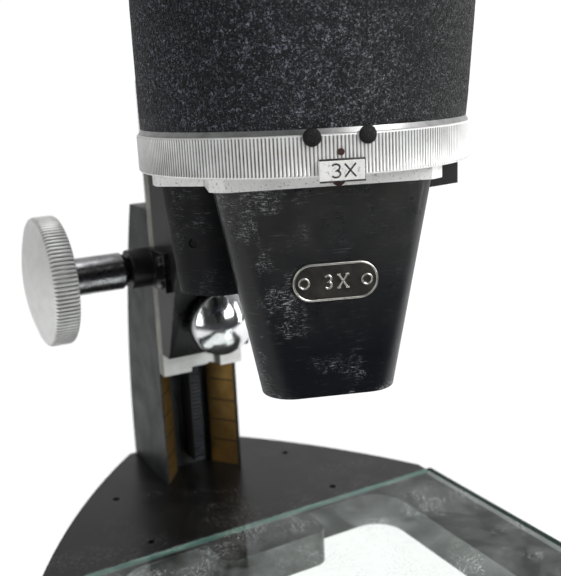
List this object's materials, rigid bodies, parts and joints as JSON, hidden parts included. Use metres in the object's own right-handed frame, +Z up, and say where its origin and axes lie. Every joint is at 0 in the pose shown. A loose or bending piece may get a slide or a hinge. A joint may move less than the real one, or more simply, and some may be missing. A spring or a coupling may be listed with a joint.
{
  "type": "stereo microscope",
  "caption": "Stereo microscope with a rotating drum of paired objectives, inclined eyepieces, rack-and-pinion focus on a dovetail column and a glass stage base.",
  "frame": {"origin": "on the table plane, at the middle of the base, which is the bottom centre of the bounding box", "axes": "+Z up, +Y from the user towards the column, +X to the right of the user"},
  "size_m": [0.1906, 0.278, 0.3581],
  "materials": {
    "black_casting": "semi-gloss black enamel on cast iron, worn at the edges",
    "grey_casting": "dull dark grey enamel on a casting",
    "black_wrinkle": "black wrinkle enamel",
    "black_gloss": "smooth black enamel with fine scratches and dust",
    "rubber": "matt rubber",
    "clear_glass": "clear float glass with a green edge",
    "optical_glass": "polished and coated",
    "ground_steel": "ground and lightly worn",
    "steel": "turned bright steel",
    "brass": "scraped brass with oil grooves, tarnished",
    "knurled_aluminium": "turned and straight knurled",
    "chrome": "polished plate",
    "black_anodised": "black anodised",
    "red_enamel": "dull red-brown enamel"
  },
  "bodies": {
    "stand": {"base_casting": "black_casting", "rubber_feet": "rubber", "column": "grey_casting", "column_bolts": "steel", "way_strip_left": "brass", "way_strip_right": "brass", "rack": "steel", "rack_screws": "steel"},
    "stage_plate": {"stage_glass": "clear_glass"},
    "carriage": {"slide": "ground_steel", "arm": "black_casting", "slide_screws": "steel", "bearing_plates": "black_casting", "bearing_screws": "steel", "clamp_pad": "brass"},
    "focus_pinion": {"pinion_shaft": "steel", "pinion_gear": "steel", "knob_sleeves": "steel", "focus_knob_left": "knurled_aluminium", "focus_knob_right": "knurled_aluminium"},
    "slide_clamp": {"clamp_knob": "chrome", "clamp_stud": "steel"},
    "head_clamp": {"head_clamp_screw": "chrome"},
    "head": {"drum_body": "black_wrinkle", "drum_band": "ground_steel", "turret_spindle": "steel", "spindle_nut": "steel", "index_pins": "black_gloss", "head_deck": "black_wrinkle", "head_screws": "steel", "prism_case": "black_wrinkle", "inclination_prisms": "optical_glass", "detent_spring": "steel", "detent_ball": "steel"},
    "turret": {"turret_ring": "knurled_aluminium", "turret_disc": "ground_steel", "label_plates": "ground_steel", "station_dots": "red_enamel", "mount_plates": "ground_steel", "plate_screws": "steel", "centring_screws": "red_enamel", "housing_3x": "black_gloss", "housing_2x": "black_gloss", "housing_1x": "black_gloss", "lens_cells": "black_anodised", "objective_lenses": "optical_glass", "nameplate": "black_anodised", "nameplate_screws": "steel", "set_screws": "black_anodised"},
    "eye_left": {"prism_housing_left": "black_wrinkle", "erecting_prisms_left": "optical_glass", "eyepiece_tube_left": "chrome"},
    "eye_right": {"prism_housing_right": "black_wrinkle", "erecting_prisms_right": "optical_glass", "eyepiece_tube_right": "chrome"},
    "dioptre": {"dioptre_ring": "steel"},
    "ocular_left": {"eyepiece_left": "black_gloss", "eyepiece_lenses_left": "optical_glass"},
    "ocular_right": {"eyepiece_right": "black_gloss", "eyepiece_lenses_right": "optical_glass"}
  },
  "joints": [
    {"name": "stage_lift", "type": "slide", "parent": "stand", "child": "stage_plate", "axis": [0, 0, 1], "range_m": [0, 0.03]},
    {"name": "focus_slide", "type": "slide", "parent": "stand", "child": "carriage", "axis": [0, 0, 1], "range_m": [-0.045, 0.012]},
    {"name": "focus_turn", "type": "hinge", "parent": "carriage", "child": "focus_pinion", "pos_m": [0, 0.0888, 0.1322], "axis": [1, 0, 0], "range_deg": [-85, 295]},
    {"name": "clamp_turn", "type": "hinge", "parent": "carriage", "child": "slide_clamp", "pos_m": [0, 0.07, 0.1088], "axis": [0, -1, 0], "range_deg": [-90, 180]},
    {"name": "head_turn", "type": "hinge", "parent": "carriage", "child": "head", "pos_m": [0, -0.015, 0.2476], "axis": [0, 0, 1], "continuous": true},
    {"name": "head_clamp_turn", "type": "hinge", "parent": "carriage", "child": "head_clamp", "pos_m": [0.06, -0.015, 0.2476], "axis": [1, 0, 0], "range_deg": [-90, 180]},
    {"name": "turret_turn", "type": "hinge", "parent": "head", "child": "turret", "pos_m": [0, -0.015, 0.1888], "axis": [0, 0, 1], "continuous": true},
    {"name": "eye_spread_left", "type": "hinge", "parent": "head", "child": "eye_left", "pos_m": [-0.04164, -0.04136, 0.28725], "axis": [-0.339, -0.6257, 0.7026], "range_deg": [-35, 35]},
    {"name": "eye_spread_right", "type": "hinge", "parent": "head", "child": "eye_right", "pos_m": [0.0161, -0.06159, 0.28725], "axis": [-0.1254, -0.7005, 0.7026], "range_deg": [-35, 35]},
    {"name": "dioptre_turn", "type": "hinge", "parent": "eye_left", "child": "dioptre", "pos_m": [-0.04184, -0.05763, 0.31266], "axis": [-0.339, -0.6257, 0.7026], "range_deg": [-150, 150]},
    {"name": "dioptre_travel", "type": "slide", "parent": "eye_left", "child": "ocular_left", "axis": [-0.339, -0.6257, 0.7026], "range_m": [-0.003, 0.003]},
    {"name": "eyepiece_lift", "type": "slide", "parent": "eye_right", "child": "ocular_right", "axis": [-0.1254, -0.7005, 0.7026], "range_m": [0, 0.03]}
  ],
  "couplings": [
    {"joint": "focus_turn", "follows": "focus_slide", "rad_per_m": -111.11},
    {"joint": "dioptre_travel", "follows": "dioptre_turn", "m_per_rad": 0.0011459}
  ]
}
